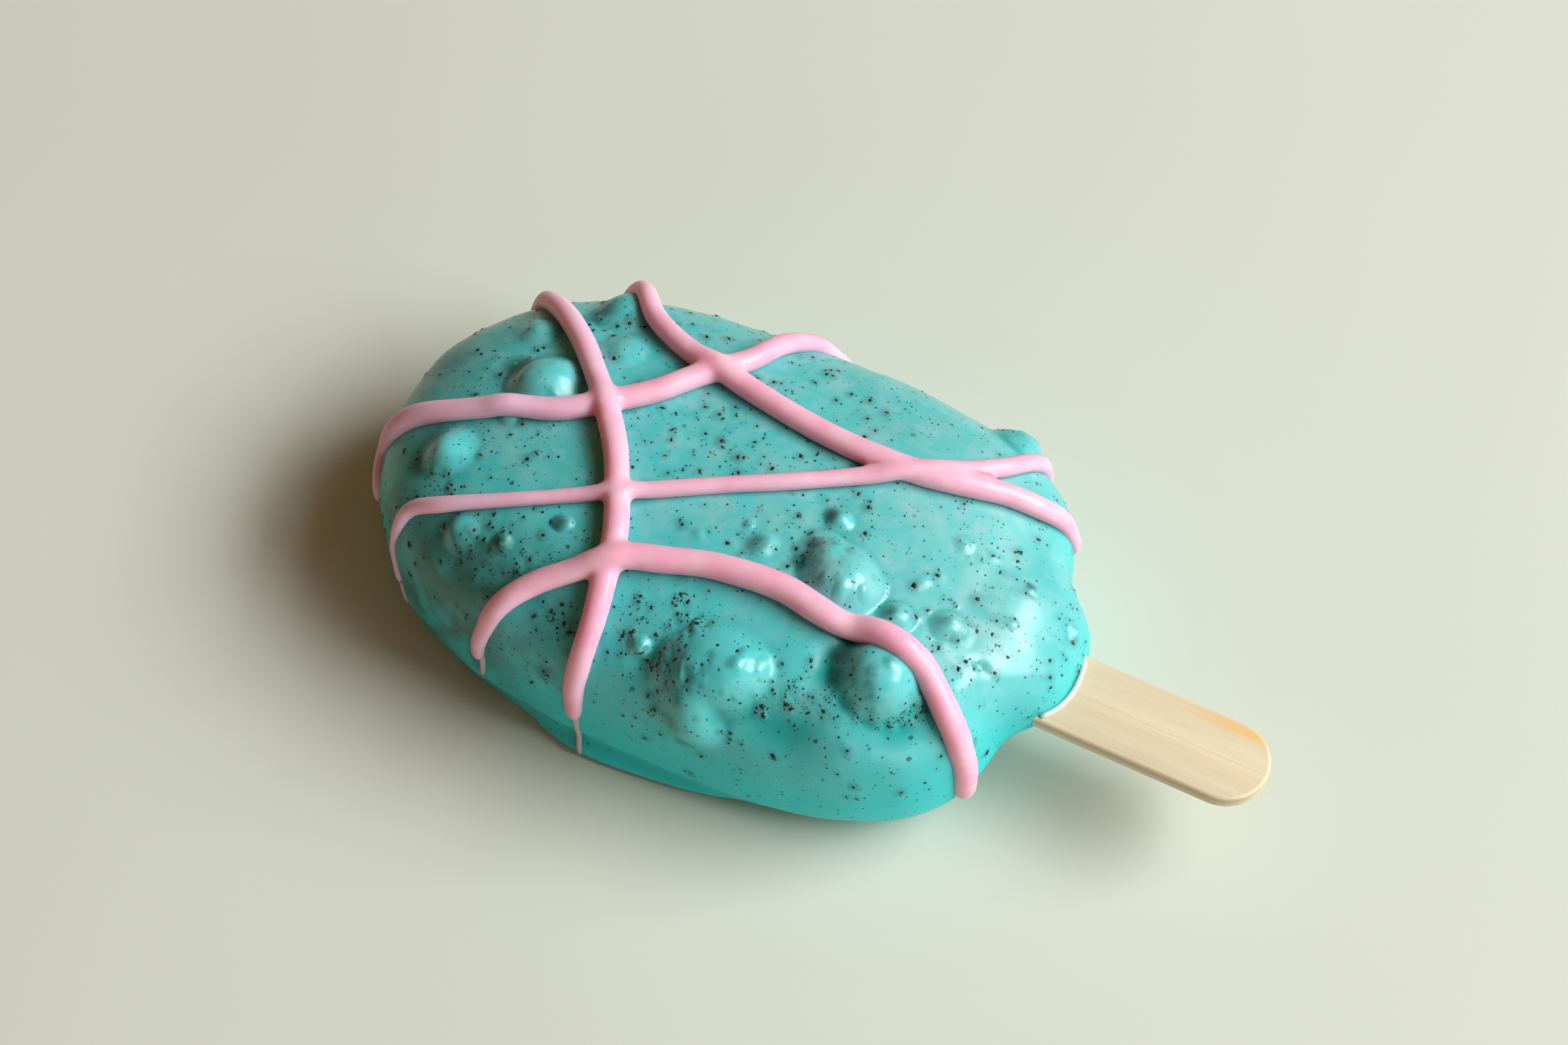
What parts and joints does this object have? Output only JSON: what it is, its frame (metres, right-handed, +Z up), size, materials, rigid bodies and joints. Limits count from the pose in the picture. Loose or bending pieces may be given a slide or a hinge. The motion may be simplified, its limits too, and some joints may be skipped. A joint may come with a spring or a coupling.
{
  "type": "cakesicle",
  "caption": "Cake bar under a lumpy glaze with crossed strands of drizzle, lying flat on its back, with a flat wooden stick at one end.",
  "frame": {"origin": "middle of the whole part's box, on the surface that it lies on", "axes": "+X along the bar towards the tip of the stick, +Y across the bar, +Z up out of its drizzled face"},
  "size_m": [0.1074, 0.0536, 0.0277],
  "materials": {
    "glaze": "glossy teal glaze with dark crumbs in it",
    "drizzle": "glossy pink icing",
    "crumb": "dark biscuit crumb",
    "birch": "plain sanded birch"
  },
  "bodies": {
    "root": {"coated_bar": "glaze", "stick": "birch"}
  },
  "joints": []
}
